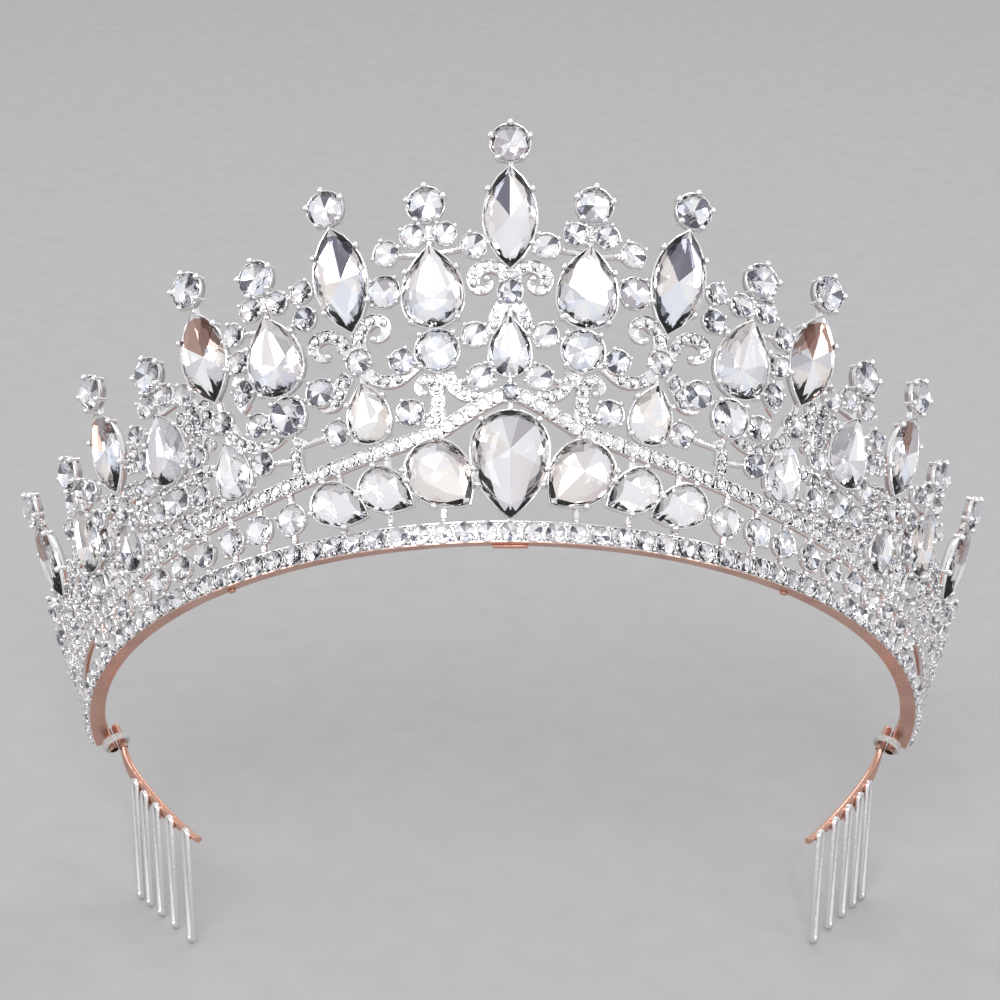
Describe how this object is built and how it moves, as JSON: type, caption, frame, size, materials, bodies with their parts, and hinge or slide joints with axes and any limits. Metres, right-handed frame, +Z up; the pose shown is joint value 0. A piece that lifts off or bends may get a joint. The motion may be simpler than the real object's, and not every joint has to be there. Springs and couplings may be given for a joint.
{
  "type": "pageant crown",
  "caption": "Tall open tiara of pierced soldered metal set with clear cut stones, rising to a point in front, with a side comb bound to each end of its band.",
  "frame": {"origin": "on the surface that the comb teeth stand on, below the middle of the whole", "axes": "+X across the crown to the right of someone facing it; -Y to the front; +Z up; left and right in names are as seen from the front"},
  "size_m": [0.161, 0.0576, 0.1316],
  "materials": {
    "silver_metal": "bright silver plate",
    "rose_metal": "rose-toned plate, polished",
    "cut_stone": "clear faceted glass with a foil back",
    "clear_binding": "clear glossy thread"
  },
  "bodies": {
    "root": {"frame": "silver_metal", "band_stones": "cut_stone", "finial_stones": "cut_stone", "round_stones_left": "cut_stone", "round_stones_right": "cut_stone", "marquise_middle": "cut_stone", "marquise_2_left": "cut_stone", "marquise_2_right": "cut_stone", "marquise_4_left": "cut_stone", "marquise_4_right": "cut_stone", "marquise_6_left": "cut_stone", "marquise_6_right": "cut_stone", "marquise_8_left": "cut_stone", "marquise_8_right": "cut_stone", "pear_1_left": "cut_stone", "pear_1_right": "cut_stone", "pear_3_left": "cut_stone", "pear_3_right": "cut_stone", "pear_5_left": "cut_stone", "pear_5_right": "cut_stone", "pear_7_left": "cut_stone", "pear_7_right": "cut_stone", "small_pear_middle": "cut_stone", "small_pear_2_left": "cut_stone", "small_pear_2_right": "cut_stone", "small_pear_4_left": "cut_stone", "small_pear_4_right": "cut_stone", "small_pear_6_left": "cut_stone", "small_pear_6_right": "cut_stone", "large_round_1_left": "cut_stone", "large_round_1_right": "cut_stone", "large_round_3_left": "cut_stone", "large_round_3_right": "cut_stone", "large_round_5_left": "cut_stone", "large_round_5_right": "cut_stone", "large_round_7_left": "cut_stone", "large_round_7_right": "cut_stone", "lower_pear_middle": "cut_stone", "lower_pear_1_left": "cut_stone", "lower_pear_1_right": "cut_stone", "lower_pear_2_left": "cut_stone", "lower_pear_2_right": "cut_stone", "lower_pear_3_left": "cut_stone", "lower_pear_3_right": "cut_stone", "left_comb": "rose_metal", "right_comb": "rose_metal", "left_binding": "clear_binding", "right_binding": "clear_binding"}
  },
  "joints": []
}
